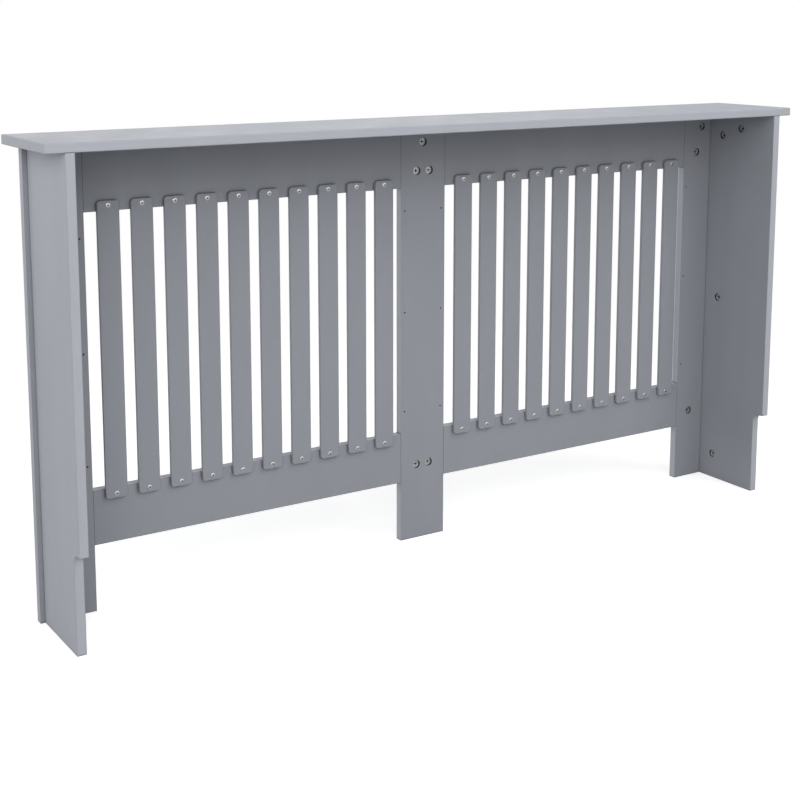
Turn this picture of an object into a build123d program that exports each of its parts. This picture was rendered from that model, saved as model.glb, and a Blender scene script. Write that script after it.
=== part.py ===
from build123d import *

import os

# Slatted radiator cover cabinet: a shelf, two side panels and a slatted front, joined by cam locks.
#
# Millimetres. +Z is up, +X runs along the cover, and the front faces -Y, towards the room.
# Left is the -X end, as seen from the room. The origin is on the floor, in the middle of the cover.

# The whole cover
cover_length = 1520.0
cover_depth = 200.0
cover_height = 790.0
board = 15.0  # thickness of the shelf, panels, stiles and rails

# Shelf
end_overhang = 23.0  # past the outer stiles
front_overhang = 12.0  # past the front face of the stiles
shelf_corner_radius = 3.0
shelf_edge_break = 1.0

# Front frame
stile_width = 95.0
centre_stile_width = 95.0
top_rail_height = 112.0
bottom_rail_height = 93.0
foot_height = 113.0  # floor to the underside of the bottom rails

# Side panels
panel_inset = 8.0  # the outer face of a panel, in from the edge of its stile
skirting_height = 165.0
skirting_depth = 25.0
skirting_corner_radius = 15.0

# Slats
slats_per_window = 10
slat_width = 37.0
slat_thickness = 6.0
slat_overlap = 17.0  # on each rail
slat_corner_radius = 5.0

# Cam locks: a disc in a bore of one board draws on a bolt that stands in the next board
cam_bore_radius = 7.7
cam_bore_depth = 12.5
cam_recess = 4.0  # the disc lies this deep in its bore
cam_clearance = 0.2
cross_length = 7.0
cross_width = 1.6
cross_depth = 2.0
bolt_radius = 3.0
bolt_sides = 6
bolt_grip = 10.0  # in the next board
rail_cam_setback = 34.0  # from the edge of the stile
rail_cam_rise = 30.0  # above the lower edge of the rail
shelf_cam_drop = 30.0  # below the shelf
panel_cam_setback = 36.0  # from the front edge of the panel
lowest_panel_cam = 51.0  # above the floor
highest_panel_cam_drop = 47.0  # below the shelf

# Wooden dowels that locate the boards; their flats stand for the flutes
dowel_radius = 4.0
dowel_sides = 8
dowel_in_edge = 15.0
dowel_in_face = 10.0
rail_dowel_rise = 75.0  # above the lower edge of the rail
shelf_dowel_spread = 50.0  # each side of the middle of the panel
hole_clearance = 0.1
hole_end_gap = 0.5

# Blind pilot holes beside the windows
pilot_radius = 1.5
pilot_sides = 8
pilot_depth = 8.0
pilot_edge = 8.0  # from the edge of the stile
pilot_spacing = 187.0

# Planes and middles that the boards share
rear = cover_depth / 2
stile_front = -cover_depth / 2 + front_overhang
stile_rear = stile_front + board
shelf_under = cover_height - board
frame_end = cover_length / 2 - end_overhang
panel_outer = frame_end - panel_inset
panel_inner = panel_outer - board
window_outer = frame_end - stile_width
window_inner = centre_stile_width / 2
window_width = window_outer - window_inner
top_rail_under = shelf_under - top_rail_height
bottom_rail_top = foot_height + bottom_rail_height
window_middle = (top_rail_under + bottom_rail_top) / 2
stile_middle = frame_end - stile_width / 2
frame_middle = (stile_front + stile_rear) / 2
panel_middle = (stile_rear + rear) / 2
panel_core = (panel_inner + panel_outer) / 2
highest_panel_cam = shelf_under - highest_panel_cam_drop
slat_gap = (window_width - slats_per_window * slat_width) / (slats_per_window + 1)
slat_bottom = bottom_rail_top - slat_overlap
slat_top = top_rail_under + slat_overlap

LEFT, RIGHT = -1, 1
SIDES = {"left": LEFT, "right": RIGHT}
RAIL_UNDERSIDES = (top_rail_under, foot_height)
REARWARD = (0, 1, 0)
FORWARD = (0, -1, 0)
UPWARD = (0, 0, 1)


def slab(x_range, y_range, z_range):
    """A rectangular board between two places on each axis."""
    ranges = (x_range, y_range, z_range)
    middle = [(start + end) / 2 for start, end in ranges]
    return Pos(*middle) * Box(*(abs(end - start) for start, end in ranges))


def bar(radius, sides, start, end, depth=0.0):
    """A bar with flat sides along local X, with its axis this deep below the local XY plane."""
    section = RegularPolygon(radius, sides)
    return Pos(start, 0, -depth) * Rot(0, 90, 0) * extrude(section, end - start)


def frame_joints():
    """Each joint between a stile and a rail: (x of the joint, way into the rail, underside of the rail)."""
    for side in (LEFT, RIGHT):
        for joint, inward in ((side * window_inner, side), (side * window_outer, -side)):
            for underside in RAIL_UNDERSIDES:
                yield joint, inward, underside


# Cam locks. Each is (location, reach): local Z leaves the bored face, local X goes to the next board,
# and reach is how far that board is.


def cam_lock(centre, out_of_face, to_next_board, reach):
    """A cam lock with its bore centred here."""
    return Plane(origin=centre, x_dir=to_next_board, z_dir=out_of_face).location, reach


def rail_cam_locks():
    """Cams in the stiles that draw in the ends of the rails."""
    for joint, inward, underside in frame_joints():
        centre = (joint - inward * rail_cam_setback, stile_rear, underside + rail_cam_rise)
        yield cam_lock(centre, REARWARD, (inward, 0, 0), rail_cam_setback)


def shelf_cam_locks():
    """Cams in the stiles and side panels that draw the shelf down."""
    height = shelf_under - shelf_cam_drop
    for x in (-stile_middle, 0, stile_middle):
        yield cam_lock((x, stile_rear, height), REARWARD, UPWARD, shelf_cam_drop)
    for side in (LEFT, RIGHT):
        centre = (side * panel_inner, panel_middle, height)
        yield cam_lock(centre, (-side, 0, 0), UPWARD, shelf_cam_drop)


def panel_cam_locks():
    """Cams in the side panels that draw them to the outer stiles."""
    middle_cam = (lowest_panel_cam + highest_panel_cam) / 2
    for side in (LEFT, RIGHT):
        for height in (lowest_panel_cam, middle_cam, highest_panel_cam):
            centre = (side * panel_inner, stile_rear + panel_cam_setback, height)
            yield cam_lock(centre, (-side, 0, 0), FORWARD, panel_cam_setback)


def cam_bore(lock):
    """The round bore for the disc and the hole for the bolt, which runs on into the next board."""
    location, reach = lock
    bore = Cylinder(cam_bore_radius, cam_bore_depth, align=(Align.CENTER, Align.CENTER, Align.MAX))
    hole_end = reach + bolt_grip + hole_end_gap
    return location * (bore + bar(bolt_radius + hole_clearance, bolt_sides, 0, hole_end, board / 2))


def cam_disc(lock):
    """The zinc disc, with the cross recess that a screwdriver turns."""
    location, _ = lock
    radius = cam_bore_radius - cam_clearance
    height = cam_bore_depth - cam_recess
    disc = Cylinder(radius, height, align=(Align.CENTER, Align.CENTER, Align.MAX))
    for length, width in ((cross_length, cross_width), (cross_width, cross_length)):
        disc -= Pos(0, 0, -cross_depth / 2) * Box(length, width, cross_depth)
    return location * Pos(0, 0, -cam_recess) * disc


def cam_bolt(lock):
    """The steel bolt, from the edge of the disc's bore into the next board."""
    location, reach = lock
    return location * bar(bolt_radius, bolt_sides, cam_bore_radius, reach + bolt_grip, board / 2)


# Dowels. Each is a location: its origin is where the dowel crosses the joint, and local X goes into
# the board that the dowel enters by its face.


def dowel_at(crossing, into_face):
    """Where a dowel crosses a joint."""
    return Plane(origin=crossing, x_dir=into_face, z_dir=REARWARD).location


def rail_dowels():
    """Dowels from the ends of the rails into the stiles."""
    for joint, inward, underside in frame_joints():
        yield dowel_at((joint, frame_middle, underside + rail_dowel_rise), (-inward, 0, 0))


def shelf_dowels():
    """Dowels from the tops of the side panels into the shelf."""
    for side in (LEFT, RIGHT):
        for step in (-shelf_dowel_spread, shelf_dowel_spread):
            yield dowel_at((side * panel_core, panel_middle + step, shelf_under), UPWARD)


def dowel_hole(location):
    """The hole for a dowel, in both boards."""
    start, end = -dowel_in_edge - hole_end_gap, dowel_in_face + hole_end_gap
    return location * bar(dowel_radius + hole_clearance, dowel_sides, start, end)


def dowel(location):
    """A wooden dowel across a joint."""
    return location * bar(dowel_radius, dowel_sides, -dowel_in_edge, dowel_in_face)


def pilot_holes():
    """Blind holes in the rear faces of the stiles, three beside each long edge of a window."""
    hole = Rot(90, 0, 0) * extrude(RegularPolygon(pilot_radius, pilot_sides), pilot_depth)
    for side in (LEFT, RIGHT):
        for x in (side * (window_inner - pilot_edge), side * (window_outer + pilot_edge)):
            for step in (-pilot_spacing, 0, pilot_spacing):
                yield Pos(x, stile_rear, window_middle + step) * hole


# Boards, before they are bored


def shelf():
    """The top, with rounded corners and broken edges."""
    half = cover_length / 2
    plate = slab((-half, half), (-rear, rear), (shelf_under, cover_height))
    plate = fillet(plate.edges().filter_by(Axis.Z), shelf_corner_radius)
    faces = plate.faces().sort_by(Axis.Z)
    return chamfer(faces[0].edges() + faces[-1].edges(), shelf_edge_break)


def stile(middle, width):
    """An upright of the front frame, from the floor to the shelf."""
    edges = (middle - width / 2, middle + width / 2)
    return slab(edges, (stile_front, stile_rear), (0, shelf_under))


def rail(side, underside, height):
    """A rail between the centre stile and an outer stile."""
    ends = (side * window_inner, side * window_outer)
    return slab(ends, (stile_front, stile_rear), (underside, underside + height))


def side_panel(side):
    """A side, cut away at the foot of its rear edge to clear the skirting board."""
    panel = slab((side * panel_inner, side * panel_outer), (stile_rear, rear), (0, shelf_under))
    skirting = slab(
        (side * panel_inner, side * panel_outer), (rear - skirting_depth, rear), (0, skirting_height)
    )
    crosswise = skirting.edges().filter_by(Axis.X)
    inner_top_edge = crosswise.sort_by(Axis.Y)[:2].sort_by(Axis.Z)[-1]
    return panel - fillet(inner_top_edge, skirting_corner_radius)


def slats(side):
    """The slats of one window, against the rear faces of its rails, from the centre stile outwards."""
    for i in range(slats_per_window):
        near_edge = side * (window_inner + slat_gap + i * (slat_width + slat_gap))
        strip = slab(
            (near_edge, near_edge + side * slat_width),
            (stile_rear, stile_rear + slat_thickness),
            (slat_bottom, slat_top),
        )
        yield fillet(strip.edges().filter_by(Axis.Y), slat_corner_radius)


def all_boards():
    """Every board and slat of the cover, by the name of its node."""
    boards = {"top_shelf": shelf(), "centre_stile": stile(0, centre_stile_width)}
    for name, side in SIDES.items():
        boards[f"{name}_stile"] = stile(side * stile_middle, stile_width)
        boards[f"{name}_side_panel"] = side_panel(side)
        boards[f"{name}_top_rail"] = rail(side, top_rail_under, top_rail_height)
        boards[f"{name}_bottom_rail"] = rail(side, foot_height, bottom_rail_height)
        for number, slat in enumerate(slats(side), start=1):
            boards[f"{name}_slat_{number:02d}"] = slat
    return boards


def overlapping(first, second):
    """Whether the boxes round two shapes overlap."""
    a, b = first.bounding_box(), second.bounding_box()
    return all(
        low < high
        for low, high in (
            (a.min.X, b.max.X), (b.min.X, a.max.X),
            (a.min.Y, b.max.Y), (b.min.Y, a.max.Y),
            (a.min.Z, b.max.Z), (b.min.Z, a.max.Z),
        )
    )


def bored(solid, holes):
    """A board with the holes that reach into it."""
    for hole in holes:
        if overlapping(solid, hole):
            solid -= hole
    return solid


def build():
    """Every node of the cover, by name."""
    locks = {
        "rail": list(rail_cam_locks()),
        "shelf": list(shelf_cam_locks()),
        "panel": list(panel_cam_locks()),
    }
    dowels = {"rail": list(rail_dowels()), "shelf": list(shelf_dowels())}
    holes = [cam_bore(lock) for group in locks.values() for lock in group]
    holes += [dowel_hole(location) for group in dowels.values() for location in group]
    holes += pilot_holes()

    nodes = {name: bored(solid, holes) for name, solid in all_boards().items()}
    for name, group in locks.items():
        nodes[f"{name}_cam_discs"] = Compound(children=[cam_disc(lock) for lock in group])
        nodes[f"{name}_cam_bolts"] = Compound(children=[cam_bolt(lock) for lock in group])
    for name, group in dowels.items():
        nodes[f"{name}_dowels"] = Compound(children=[dowel(location) for location in group])
    return nodes


os.makedirs("parts", exist_ok=True)
for node_name, shape in build().items():
    export_step(shape, f"parts/{node_name}.step")
    print(node_name, round(shape.volume), "mm3")
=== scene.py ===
import math

import bmesh
import bpy
from mathutils import Matrix, Vector


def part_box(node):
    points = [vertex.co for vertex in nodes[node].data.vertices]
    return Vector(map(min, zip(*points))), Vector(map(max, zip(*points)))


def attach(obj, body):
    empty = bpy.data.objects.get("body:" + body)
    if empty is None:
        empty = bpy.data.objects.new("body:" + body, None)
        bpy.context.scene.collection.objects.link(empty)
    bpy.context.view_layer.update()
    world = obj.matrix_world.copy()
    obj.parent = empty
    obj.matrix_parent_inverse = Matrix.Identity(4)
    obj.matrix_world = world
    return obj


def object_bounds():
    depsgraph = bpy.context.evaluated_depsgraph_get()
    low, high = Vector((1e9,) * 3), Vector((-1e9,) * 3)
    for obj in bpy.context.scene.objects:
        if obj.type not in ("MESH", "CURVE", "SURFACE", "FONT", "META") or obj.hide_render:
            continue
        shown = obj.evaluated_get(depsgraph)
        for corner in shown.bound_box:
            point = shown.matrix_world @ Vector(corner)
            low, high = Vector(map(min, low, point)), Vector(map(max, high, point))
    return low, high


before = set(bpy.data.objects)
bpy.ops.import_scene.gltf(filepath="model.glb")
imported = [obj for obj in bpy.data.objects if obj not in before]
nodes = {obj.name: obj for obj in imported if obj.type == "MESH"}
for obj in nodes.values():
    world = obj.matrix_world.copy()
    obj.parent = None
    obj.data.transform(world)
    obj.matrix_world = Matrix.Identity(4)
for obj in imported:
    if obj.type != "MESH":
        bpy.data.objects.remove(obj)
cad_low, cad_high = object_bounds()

# A slatted radiator cover, seen from behind: painted fibreboard, zinc cam locks and slat screws.
# Metres, in the frame of the solids: +Z up, +X along the cover, and the wall side faces +Y.

MM = 0.001
BODY = "root"
REARWARD = Vector((0, 1, 0))

# Camera, as the photograph was taken: behind the cover, past its +X end, with a small lens shift
PICTURE_WIDTH = 800  # pixels
CAMERA_PLACE = Vector((1.4192, 2.0778, 0.9680))
CAMERA_AIM = Vector((-0.5307, -0.8334, -0.1544))
CAMERA_FOCAL_LENGTH = 1427.1  # pixels
CAMERA_SHIFT = 160  # pixels
SENSOR_WIDTH = 36.0  # millimetres

# Slat screws
SCREW_HEAD_RADIUS = 4.0 * MM
SCREW_HEAD_RISE = 0.9 * MM
SCREW_RIM = 0.35 * MM
SCREW_SETBACK = 7.5 * MM  # from the end of the slat
SCREW_SINK = 1.0 * MM  # how far the head runs on into the slat
SCREW_RECESS_SPAN = 4.6 * MM
SCREW_RECESS_WIDTH = 1.9 * MM
SCREW_RECESS_DEPTH = 1.6 * MM
SCREW_RECESS_TAPER = 0.55  # width at its foot, as a share of its width at the top
SCREW_DOME_STEPS = 6
CUTTER_TOP = 2.0 * MM  # clear of the dome

# Raised rims of the cam discs
CAM_RIM_WIDTH = 0.9 * MM
CAM_RIM_RISE = 0.35 * MM
CAM_RIM_INSET = 0.1 * MM

# Meshes
TURN_FACES = 48  # round a full turn
WELD = 0.001 * MM  # points nearer than this are one
SHARP_ANGLE = math.radians(35)

# Boards
EASE = 1.3 * MM  # how softly the spray rounds an edge
WIDE_EASE = 2.4 * MM  # the same on the shelf and the side panels
RAIL_SEAM = 0.0011  # shadow at each end of a rail, as a share of its length
SKIN = 0.5 * MM  # how far a box goes past the faces that it holds
OUTSIDE = 1.0 * MM  # how far a box goes past the whole cover
# The painted recess shade on the stiles runs this far
STILE_REACH = 30 * MM  # from a side panel's inner face past the outer edge of its stile

# Boxes inside the boards, as shares of a board: the centre, and half of each side
WHOLE_BOARD = 2.0  # well past the faces
BOARD_CENTRE = (0.5, 0.5, 0.5)
STILE_BORES = (BOARD_CENTRE, (0.47, 0.49, 0.499))
PANEL_BORES = ((0.5, 0.43, 0.5), (0.47, 0.40, 0.499))

# Studio
FLOOR_HALF = 14.0
FLOOR_DROP = 0.2 * MM
FLOOR_FADE_START = 1.1  # from the middle of the cover, where the floor begins to turn plain white
FLOOR_FADE_END = 2.0
FLOOR_GLOW = 0.55  # lifts the floor near the cover to white, under its shadow
WORLD_LEVEL = 0.14


def colour(hex_code):
    """An sRGB hex colour as linear red, green, blue and alpha."""
    channels = [int(hex_code[i:i + 2], 16) / 255 for i in (1, 3, 5)]
    linear = [c / 12.92 if c <= 0.04045 else ((c + 0.055) / 1.055) ** 2.4 for c in channels]
    return (*linear, 1.0)


PAINT = colour("#B8BBC3")
PAINT_WORN = colour("#AFB2B9")
# Painted shade: the darker grey of the faces towards the wall, in the recess behind the frame
PAINT_SHADED_RECESS = colour("#9DA0A7")
PAINT_SHADED_RECESS_WORN = colour("#95989E")
# Painted shade in the inside corners and creases
PAINT_CORNER_SHADE = colour("#6B6D72")
PAINT_SOFT_CORNER_SHADE = colour("#8B8E94")
PAINT_SEAM = colour("#626468")
# Raw board of the bore walls, darkened almost to black as painted shade
RAW_BOARD_IN_SHADE = colour("#26211D")
CAST_METAL = colour("#CDCFD0")
CAST_SHADOW = colour("#0A0B0C")
PLATED_METAL = colour("#D3D5D7")
PLATED_SHADOW = colour("#0E0F10")
BEECH = colour("#D9B88C")
BEECH_FLECK = colour("#B98F62")
FLOOR = colour("#C8C8C8")
FLOOR_SEEN = colour("#F2F2F2")
WHITE = colour("#FFFFFF")


# Nodes of the materials


def add(tree, kind, inputs=(), **settings):
    """Adds a node with its settings; each input is a plain value or the socket that feeds it."""
    made = tree.nodes.new("ShaderNode" + kind)
    for name, value in settings.items():
        setattr(made, name, value)
    for key, value in dict(inputs).items():
        if isinstance(value, bpy.types.NodeSocket):
            tree.links.new(value, made.inputs[key])
        else:
            made.inputs[key].default_value = value
    return made


def new_material(name):
    """An empty material: itself, its tree and its Principled shader."""
    material = bpy.data.materials.new(name)
    material.use_nodes = True
    return material, material.node_tree, material.node_tree.nodes["Principled BSDF"]


def mix(tree, factor, first, second):
    """A colour between two others. The node's colours are its inputs 6 and 7 and its output 2."""
    inputs = {"Factor": factor, 6: first, 7: second}
    return add(tree, "Mix", inputs, data_type="RGBA").outputs[2]


def spots(tree, where, size, low, high, detail=2.0, stretch=(1, 1, 1)):
    """Soft noise with features of this size in metres, from low to high.

    Nearly all of the plain noise lies between 0.35 and 0.65.
    """
    scaled = add(tree, "Mapping", {"Vector": where, "Scale": stretch}).outputs[0]
    noise = add(tree, "TexNoise", {"Vector": scaled, "Scale": 1 / size, "Detail": detail}).outputs[0]
    inputs = {"Value": noise, "From Min": 0.35, "From Max": 0.65, "To Min": low, "To Max": high}
    return add(tree, "MapRange", inputs).outputs[0]


def within(tree, where, centre, half):
    """1 where a point is inside a box, and 0 outside it."""
    away = add(tree, "VectorMath", {0: where, 1: centre}, operation="SUBTRACT").outputs[0]
    away = add(tree, "VectorMath", {0: away}, operation="ABSOLUTE").outputs[0]
    axes = add(tree, "SeparateXYZ", {0: away}).outputs
    inside = [
        add(tree, "Math", {0: along, 1: limit}, operation="LESS_THAN").outputs[0]
        for along, limit in zip(axes, half)
    ]
    pair = add(tree, "Math", {0: inside[0], 1: inside[1]}, operation="MULTIPLY").outputs[0]
    return add(tree, "Math", {0: pair, 1: inside[2]}, operation="MULTIPLY").outputs[0]


def openness(tree, reach, low, high):
    """0 deep in a corner or a recess and 1 on an open face, from what stands within reach."""
    open_share = add(tree, "AmbientOcclusion", {"Distance": reach}, samples=8).outputs["AO"]
    return add(tree, "MapRange", {"Value": open_share, "From Min": low, "From Max": high}).outputs[0]


# Materials


def painted_board(name, inside, corner=PAINT_CORNER_SHADE, ease=EASE, bored=None, seam=None):
    """Medium-density fibreboard sprayed with satin grey paint.

    Sprayed paint gives a fine orange peel, a soft sheen that wanders a little, and faint smears.
    Painted shade darkens the inside corners and the faces towards the wall, in the recess.
    inside is the box, in metres, that holds those faces. ease is how softly the edges are rounded.
    bored is the box, as shares of the board, inside which a bore's raw wall is darkened as painted
    shade.
    seam is the share of the board's length at each end that the joint leaves in shadow.
    """
    material, tree, shader = new_material(name)
    places = add(tree, "TexCoord").outputs
    where = places["Object"]

    smear = spots(tree, where, size=90 * MM, low=0.0, high=1.0, detail=4.0, stretch=(1, 1, 0.35))
    smear = add(tree, "Math", {0: smear, 1: 0.35}, operation="MULTIPLY").outputs[0]
    full_coat = mix(tree, smear, PAINT, PAINT_WORN)
    # Painted shade: the faces inside the box take the darker grey of the recess
    shaded_recess_coat = mix(tree, smear, PAINT_SHADED_RECESS, PAINT_SHADED_RECESS_WORN)
    base = mix(tree, within(tree, where, *inside), full_coat, shaded_recess_coat)
    # Painted shade: where other faces stand close, the colour darkens towards the corner colour
    base = mix(tree, openness(tree, reach=6 * MM, low=0.45, high=0.8), corner, base)
    if seam:
        between_ends = (0.5 - seam, WHOLE_BOARD, WHOLE_BOARD)
        clear = within(tree, places["Generated"], BOARD_CENTRE, between_ends)
        base = mix(tree, clear, PAINT_SEAM, base)
    # Raw bore walls, darkened almost black as painted shade in the holes
    if bored:
        base = mix(tree, within(tree, places["Generated"], *bored), base, RAW_BOARD_IN_SHADE)
    tree.links.new(base, shader.inputs["Base Color"])

    sheen = spots(tree, where, size=60 * MM, low=0.56, high=0.66)
    tree.links.new(sheen, shader.inputs["Roughness"])
    shader.inputs["Specular IOR Level"].default_value = 0.1

    eased = add(tree, "Bevel", {"Radius": ease}, samples=6).outputs[0]
    peel = add(tree, "TexNoise", {"Vector": where, "Scale": 1 / (2.2 * MM), "Detail": 2.0}).outputs[0]
    inputs = {"Height": peel, "Normal": eased, "Distance": 0.04 * MM, "Strength": 0.5}
    tree.links.new(add(tree, "Bump", inputs).outputs[0], shader.inputs["Normal"])
    return material


def cast_zinc(faces):
    """Die-cast zinc, tumbled: a dull grey metal with a fine grain, and a dark cross recess.

    faces is the box that holds the faces of the discs; what lies deeper is in shadow.
    """
    material, tree, shader = new_material("die_cast_zinc")
    where = add(tree, "TexCoord").outputs["Object"]
    base = mix(tree, within(tree, where, *faces), CAST_SHADOW, CAST_METAL)
    tree.links.new(base, shader.inputs["Base Color"])
    dullness = spots(tree, where, size=1.2 * MM, low=0.42, high=0.58)
    tree.links.new(dullness, shader.inputs["Roughness"])
    grain = add(tree, "TexNoise", {"Vector": where, "Scale": 1 / (0.6 * MM)}).outputs[0]
    inputs = {"Height": grain, "Distance": 0.03 * MM, "Strength": 0.6}
    tree.links.new(add(tree, "Bump", inputs).outputs[0], shader.inputs["Normal"])
    shader.inputs["Metallic"].default_value = 1.0
    return material


def zinc_plate():
    """Steel with zinc plating: a clean, slightly cloudy shine that is dark down in the recess."""
    material, tree, shader = new_material("zinc_plated_steel")
    where = add(tree, "TexCoord").outputs["Object"]
    base = mix(tree, openness(tree, reach=1.5 * MM, low=0.45, high=0.7), PLATED_SHADOW, PLATED_METAL)
    tree.links.new(base, shader.inputs["Base Color"])
    cloud = spots(tree, where, size=0.9 * MM, low=0.28, high=0.42)
    tree.links.new(cloud, shader.inputs["Roughness"])
    shader.inputs["Metallic"].default_value = 1.0
    return material


def turned_beech():
    """Bare turned beech: pale wood with short darker flecks along the grain."""
    material, tree, shader = new_material("beech_dowel")
    where = add(tree, "TexCoord").outputs["Object"]
    fleck = spots(tree, where, size=1.5 * MM, low=0.0, high=1.0, stretch=(0.2, 1, 1))
    tree.links.new(mix(tree, fleck, BEECH, BEECH_FLECK), shader.inputs["Base Color"])
    grain = add(tree, "Bump", {"Height": fleck, "Distance": 0.05 * MM, "Strength": 0.5}).outputs[0]
    tree.links.new(grain, shader.inputs["Normal"])
    shader.inputs["Roughness"].default_value = 0.7
    return material


# Finishes of the solids


def nodes_named(*words):
    """The nodes whose names hold one of these words."""
    return sorted(name for name in nodes if any(word in name for word in words))


def dress(names, material):
    """Gives one material to these nodes."""
    for name in names:
        slots = nodes[name].data.materials
        for i in range(len(slots)):
            slots[i] = material
        if not slots:
            slots.append(material)


def wall_side(front, reach):
    """The box round the faces that stand towards the wall, from front to the back of the cover.

    reach is how far the box goes into the side panels. The box is a centre and half of each side.
    """
    half_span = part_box("right_side_panel")[0].x + reach
    shelf_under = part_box("top_shelf")[0].z
    low = Vector((-half_span, front, cad_low.z - OUTSIDE))
    high = Vector((half_span, cad_high.y + OUTSIDE, shelf_under + SKIN))
    return (low + high) / 2, (high - low) / 2


def dress_boards(frame_rear):
    """Paints the boards. The slats stand on the frame's rear face, so their box of shade starts behind
    it.
    """
    behind_frame = wall_side(frame_rear - SKIN, SKIN)
    behind_slat_faces = wall_side(frame_rear + SKIN, SKIN)
    behind_stiles = wall_side(frame_rear - SKIN, STILE_REACH)
    shelf = painted_board("sprayed_mdf_shelf", behind_frame, ease=WIDE_EASE)
    slat = painted_board("sprayed_mdf_slat", behind_slat_faces)
    rail = painted_board("sprayed_mdf_rail", behind_frame, seam=RAIL_SEAM)
    stile = painted_board("sprayed_mdf_stile", behind_stiles, PAINT_SOFT_CORNER_SHADE, bored=STILE_BORES)
    panel = painted_board(
        "sprayed_mdf_panel", behind_frame, PAINT_SOFT_CORNER_SHADE, ease=WIDE_EASE, bored=PANEL_BORES,
    )
    dress(nodes_named("top_shelf"), shelf)
    dress(nodes_named("slat"), slat)
    dress(nodes_named("top_rail", "bottom_rail"), rail)
    dress(nodes_named("stile"), stile)
    dress(nodes_named("side_panel"), panel)


# Small fittings


def turned(name, profile):
    """A mesh turned round Z from a profile of (radius, height) points."""
    mesh = bpy.data.meshes.new(name)
    bm = bmesh.new()
    points = [bm.verts.new((radius, 0, height)) for radius, height in profile]
    edges = [bm.edges.new(pair) for pair in zip(points, points[1:])]
    bmesh.ops.spin(
        bm, geom=points + edges, cent=(0, 0, 0), axis=(0, 0, 1), angle=math.tau,
        steps=TURN_FACES, use_duplicate=False,
    )
    bmesh.ops.remove_doubles(bm, verts=bm.verts, dist=WELD)
    bmesh.ops.recalc_face_normals(bm, faces=bm.faces)
    bm.to_mesh(mesh)
    bm.free()
    return mesh


def cross_prism(span, width, depth):
    """A cross-shaped cutter of two bars that narrow towards their foot."""
    mesh = bpy.data.meshes.new("cross_cutter")
    bm = bmesh.new()
    for along, across in ((span, width), (width, span)):
        for vert in bmesh.ops.create_cube(bm, size=1)["verts"]:
            at_foot = vert.co.z < 0
            narrow = SCREW_RECESS_TAPER if at_foot else 1.0
            height = -depth if at_foot else CUTTER_TOP
            vert.co = Vector((vert.co.x * along * narrow, vert.co.y * across * narrow, height))
    bm.to_mesh(mesh)
    bm.free()
    return mesh


def cut(mesh, cutter_mesh):
    """The mesh with the cutter's shape taken out of it. The cutter's own bars may cross."""
    body = bpy.data.objects.new("body", mesh)
    cutter = bpy.data.objects.new("cutter", cutter_mesh)
    for made in (body, cutter):
        bpy.context.scene.collection.objects.link(made)
    boolean = body.modifiers.new("cut", "BOOLEAN")
    boolean.operation = "DIFFERENCE"
    boolean.solver = "EXACT"
    boolean.use_self = True
    boolean.object = cutter
    bpy.context.view_layer.update()
    result = bpy.data.meshes.new_from_object(body.evaluated_get(bpy.context.evaluated_depsgraph_get()))
    for made in (body, cutter):
        bpy.data.objects.remove(made)
    return result


def smooth(mesh):
    """Rounds the shading of a mesh, but not across its sharp edges."""
    mesh.shade_smooth()
    mesh.set_sharp_from_angle(angle=SHARP_ANGLE)
    return mesh


def screw_head():
    """A raised countersunk head with a cross recess; Z = 0 is the face of the slat."""
    dome = []
    for step in range(SCREW_DOME_STEPS + 1):
        angle = math.radians(90) * step / SCREW_DOME_STEPS
        height = SCREW_RIM + (SCREW_HEAD_RISE - SCREW_RIM) * math.cos(angle)
        dome.append((SCREW_HEAD_RADIUS * math.sin(angle), height))
    foot_radius = SCREW_HEAD_RADIUS - SCREW_SINK
    profile = dome + [(SCREW_HEAD_RADIUS, 0.0), (foot_radius, -SCREW_SINK), (0.0, -SCREW_SINK)]
    cutter = cross_prism(SCREW_RECESS_SPAN, SCREW_RECESS_WIDTH, SCREW_RECESS_DEPTH - SCREW_SINK)
    return smooth(cut(turned("screw_head", profile), cutter))


def cam_rim(radius):
    """The raised rim round the face of a cam disc."""
    outer = radius - CAM_RIM_INSET
    inner = outer - CAM_RIM_WIDTH
    shoulder = CAM_RIM_RISE / 2
    profile = [
        (inner, -shoulder), (inner, shoulder), (inner + shoulder, CAM_RIM_RISE),
        (outer - shoulder, CAM_RIM_RISE), (outer, shoulder), (outer, -shoulder), (inner, -shoulder),
    ]
    return smooth(turned("cam_rim", profile))


def place(name, mesh, where, facing, material):
    """A fitting at this place, with its Z axis along facing, that rides with the cover."""
    piece = bpy.data.objects.new(name, mesh)
    bpy.context.scene.collection.objects.link(piece)
    turn = facing.to_track_quat("Z", "Y").to_matrix().to_4x4()
    piece.matrix_world = Matrix.Translation(where) @ turn
    if not mesh.materials:
        mesh.materials.append(material)
    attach(piece, BODY)


def loose_boxes(node_name):
    """The lowest and highest corner of each separate solid of a node, in a fixed order."""
    bm = bmesh.new()
    bm.from_mesh(nodes[node_name].data)
    bmesh.ops.remove_doubles(bm, verts=bm.verts, dist=WELD)
    left = set(bm.verts)
    boxes = []
    while left:
        found, waiting = set(), [left.pop()]
        while waiting:
            vert = waiting.pop()
            found.add(vert)
            for edge in vert.link_edges:
                other = edge.other_vert(vert)
                if other in left:
                    left.discard(other)
                    waiting.append(other)
        low = Vector(min(v.co[i] for v in found) for i in range(3))
        high = Vector(max(v.co[i] for v in found) for i in range(3))
        boxes.append((low, high))
    bm.free()
    return sorted(boxes, key=lambda box: tuple(round(c, 4) for c in box[0]))


def add_slat_screws(plated):
    """Two screws in each slat, one near each end."""
    head = screw_head()
    for slat_name in nodes_named("slat"):
        low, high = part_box(slat_name)
        middle = (low.x + high.x) / 2
        for end, height in (("bottom", low.z + SCREW_SETBACK), ("top", high.z - SCREW_SETBACK)):
            spot = Vector((middle, high.y, height))
            place(f"{slat_name}_{end}_screw", head, spot, REARWARD, plated)


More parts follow.
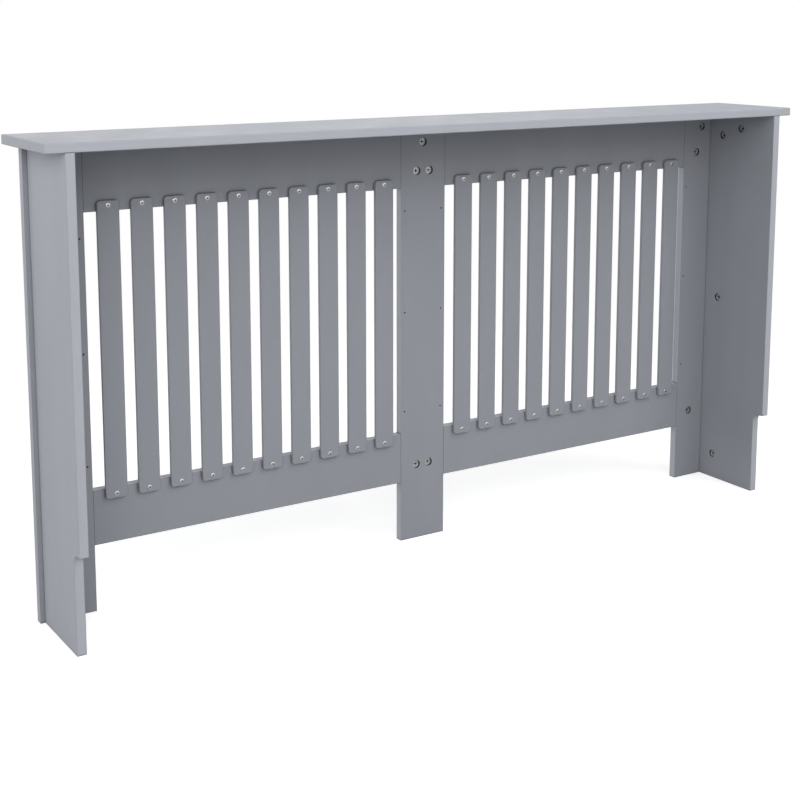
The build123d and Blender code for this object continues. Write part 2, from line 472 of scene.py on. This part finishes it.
def add_cam_rims(cast):
    """A raised rim on the face of each cam disc: at the rear of the frame, or inside a panel."""
    rim = None
    for node_name in nodes_named("cam_discs"):
        for number, (low, high) in enumerate(loose_boxes(node_name), start=1):
            size = high - low
            centre = (low + high) / 2
            rim = rim or cam_rim(max(size) / 2)
            if size.y < size.x:
                facing = REARWARD
                spot = Vector((centre.x, high.y, centre.z))
            else:
                facing = Vector((-math.copysign(1, centre.x), 0, 0))
                face = low.x if centre.x > 0 else high.x
                spot = Vector((face, centre.y, centre.z))
            place(f"{node_name}_rim_{number:02d}", rim, spot, facing, cast)


# Studio


def stage_floor():
    """A pale floor that the camera sees as white, with the soft shadow of the cover on it."""
    mesh = bpy.data.meshes.new("studio_floor")
    corners = [
        (-FLOOR_HALF, -FLOOR_HALF, 0), (FLOOR_HALF, -FLOOR_HALF, 0),
        (FLOOR_HALF, FLOOR_HALF, 0), (-FLOOR_HALF, FLOOR_HALF, 0),
    ]
    mesh.from_pydata(corners, [], [(0, 1, 2, 3)])
    floor = bpy.data.objects.new("studio_floor", mesh)
    floor.location.z = -FLOOR_DROP
    bpy.context.scene.collection.objects.link(floor)

    material = bpy.data.materials.new("pale_floor")
    material.use_nodes = True
    tree = material.node_tree
    tree.nodes.clear()
    where = add(tree, "TexCoord").outputs["Object"]
    away = add(tree, "VectorMath", {0: where}, operation="LENGTH").outputs["Value"]
    fade = {"Value": away, "From Min": FLOOR_FADE_START, "From Max": FLOOR_FADE_END}
    far = add(tree, "MapRange", fade).outputs[0]
    bright = add(tree, "BsdfDiffuse", {"Color": FLOOR_SEEN}).outputs[0]
    glow = add(tree, "Emission", {"Color": WHITE, "Strength": FLOOR_GLOW}).outputs[0]
    shadowed = add(tree, "AddShader", {0: bright, 1: glow}).outputs[0]
    white = add(tree, "Emission", {"Color": WHITE, "Strength": 1.0}).outputs[0]
    shown = add(tree, "MixShader", {0: far, 1: shadowed, 2: white}).outputs[0]
    pale = add(tree, "BsdfDiffuse", {"Color": FLOOR}).outputs[0]
    by_camera = add(tree, "LightPath").outputs["Is Camera Ray"]
    surface = add(tree, "MixShader", {0: by_camera, 1: pale, 2: shown}).outputs[0]
    add(tree, "OutputMaterial", {"Surface": surface})
    mesh.materials.append(material)


def studio_world():
    """Even soft light, seen as plain white by the camera and in the metal."""
    world = bpy.data.worlds.new("studio")
    bpy.context.scene.world = world
    world.use_nodes = True
    tree = world.node_tree
    tree.nodes.clear()
    rays = add(tree, "LightPath").outputs
    either = {0: rays["Is Camera Ray"], 1: rays["Is Glossy Ray"]}
    seen = add(tree, "Math", either, operation="MAXIMUM").outputs[0]
    soft = add(tree, "Background", {"Color": WHITE, "Strength": WORLD_LEVEL}).outputs[0]
    white = add(tree, "Background", {"Color": WHITE, "Strength": 1.0}).outputs[0]
    shown = add(tree, "MixShader", {0: seen, 1: soft, 2: white}).outputs[0]
    add(tree, "OutputWorld", {"Surface": shown})


def softbox(name, turn, rise, distance, size, level):
    """A large soft lamp, aimed at the middle of the cover.

    turn is its angle from the wall side towards +X and rise its angle above the horizon, in degrees.
    level is how bright it makes a facing surface, where 1 shows a colour as it is written.
    """
    lamp = bpy.data.lights.new(name, "AREA")
    lamp.size = size
    lamp.energy = level * (math.pi * distance) ** 2
    made = bpy.data.objects.new(name, lamp)
    bpy.context.scene.collection.objects.link(made)
    turn, rise = math.radians(turn), math.radians(rise)
    along_floor = math.cos(rise)
    towards = Vector((math.sin(turn) * along_floor, math.cos(turn) * along_floor, math.sin(rise)))
    made.location = (cad_low + cad_high) / 2 + towards * distance
    made.rotation_mode = "QUATERNION"
    made.rotation_quaternion = towards.to_track_quat("Z", "Y")


def photograph_camera():
    """The camera at the photograph's place, aim and lens."""
    lens = bpy.data.cameras.new("camera")
    lens.sensor_fit = "HORIZONTAL"
    lens.sensor_width = SENSOR_WIDTH
    lens.lens = CAMERA_FOCAL_LENGTH * SENSOR_WIDTH / PICTURE_WIDTH
    lens.shift_y = -CAMERA_SHIFT / PICTURE_WIDTH
    camera = bpy.data.objects.new("camera", lens)
    bpy.context.scene.collection.objects.link(camera)
    camera.location = CAMERA_PLACE
    camera.rotation_mode = "QUATERNION"
    camera.rotation_quaternion = CAMERA_AIM.to_track_quat("-Z", "Y")
    bpy.context.scene.camera = camera


frame_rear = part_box("centre_stile")[1].y
cam_depth = frame_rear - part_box("rail_cam_discs")[1].y  # the discs lie this deep in their bores
zinc_casting = cast_zinc(wall_side(frame_rear - cam_depth - SKIN, cam_depth + SKIN))
zinc_plating = zinc_plate()

dress_boards(frame_rear)
dress(nodes_named("cam_discs"), zinc_casting)
dress(nodes_named("cam_bolts"), zinc_plating)
dress(nodes_named("dowels"), turned_beech())
add_slat_screws(zinc_plating)
add_cam_rims(zinc_casting)

stage_floor()
studio_world()
softbox("overhead_softbox", turn=-35, rise=65, distance=3.5, size=2.3, level=0.255)
softbox("rear_left_softbox", turn=-35, rise=34, distance=5.5, size=3.4, level=0.29)
softbox("rear_right_softbox", turn=28, rise=22, distance=5.5, size=3.0, level=0.31)
softbox("side_softbox", turn=65, rise=32, distance=5.5, size=2.8, level=0.18)
softbox("end_softbox", turn=105, rise=8, distance=5.0, size=2.5, level=0.125)
softbox("front_right_softbox", turn=150, rise=14, distance=5.5, size=3.0, level=0.16)
softbox("front_left_softbox", turn=204, rise=18, distance=5.5, size=3.9, level=0.25)
photograph_camera()
bpy.context.scene.view_settings.view_transform = "Standard"
